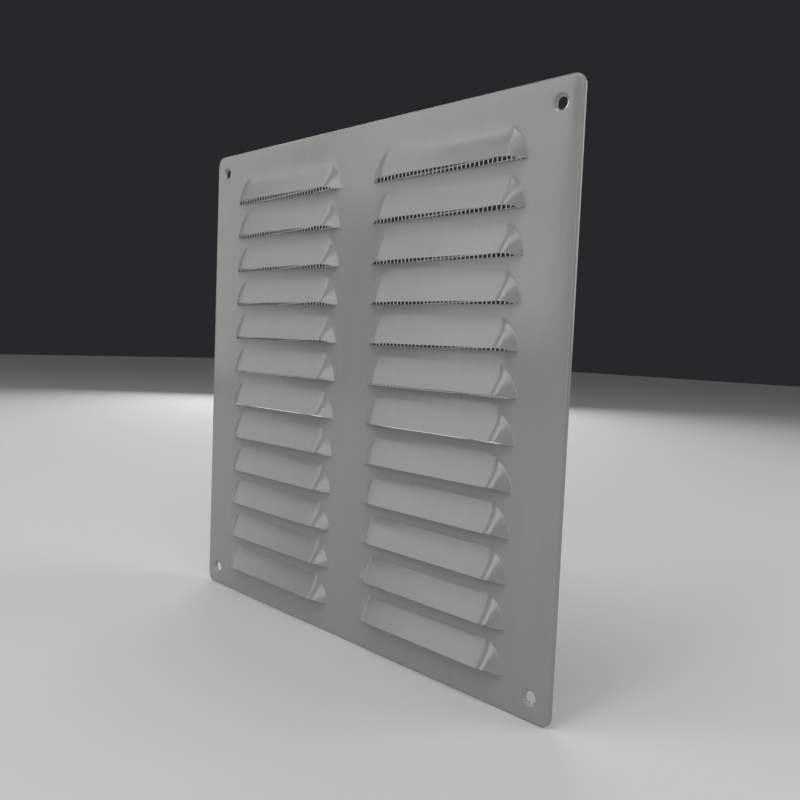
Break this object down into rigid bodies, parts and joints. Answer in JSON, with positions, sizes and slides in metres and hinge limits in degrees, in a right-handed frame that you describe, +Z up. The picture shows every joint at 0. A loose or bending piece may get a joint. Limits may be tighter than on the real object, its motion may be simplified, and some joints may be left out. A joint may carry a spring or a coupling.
{
  "type": "louvred vent panel",
  "caption": "Square sheet-metal wall vent with columns of pressed louvre hoods, a turned-back rim, dimpled corner screw holes and an insect mesh bonded to its back.",
  "frame": {"origin": "centre of the wall plane, which the back edge of the turned-back rim rests on, in the middle of the screw holes", "axes": "+Z up, with the slits opening downwards; the face looks along -Y and the wall is on the +Y side; +X to the right of someone who looks at the face"},
  "size_m": [0.25, 0.0068, 0.25],
  "materials": {
    "painted_sheet": "satin grey paint on steel sheet",
    "mesh_wire": "dull galvanised wire",
    "adhesive": "grey sealant, matt"
  },
  "bodies": {
    "root": {"louvre_panel": "painted_sheet", "insect_mesh": "mesh_wire", "mesh_bead": "adhesive"}
  },
  "joints": []
}
